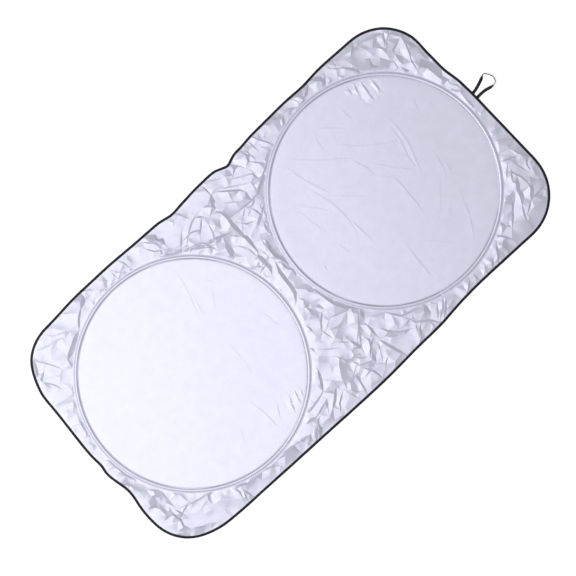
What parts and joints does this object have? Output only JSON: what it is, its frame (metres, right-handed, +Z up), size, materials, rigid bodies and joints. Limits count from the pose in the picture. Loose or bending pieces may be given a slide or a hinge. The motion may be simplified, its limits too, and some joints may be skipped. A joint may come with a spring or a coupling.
{
  "type": "windscreen sunshade",
  "caption": "Opened folding car windscreen shade: crumpled silver cloth with two taut sprung hoop discs, black bound edge and elastic strap loop at one end.",
  "frame": {"origin": "below the middle of the outline, elastic loop included, on the table under the taut discs", "axes": "+X along the sheet towards the end with the elastic loop, +Z up out of the silver face"},
  "size_m": [1.4676, 0.7314, 0.0154],
  "materials": {
    "silver_cloth": "satin silver coating on woven polyester",
    "black_tape": "folded woven black tape, slight sheen",
    "silver_tape": "satin silver woven tape",
    "spring_steel": "flat spring wire",
    "crimp_steel": "zinc plated crimp clip",
    "black_elastic": "ribbed flat elastic"
  },
  "bodies": {
    "root": {"sheet": "silver_cloth", "edge_binding": "black_tape", "left_hoop_wire": "spring_steel", "right_hoop_wire": "spring_steel", "left_hoop_ferrule": "crimp_steel", "right_hoop_ferrule": "crimp_steel", "left_hoop_tape": "silver_tape", "right_hoop_tape": "silver_tape", "elastic_loop": "black_elastic"}
  },
  "joints": []
}
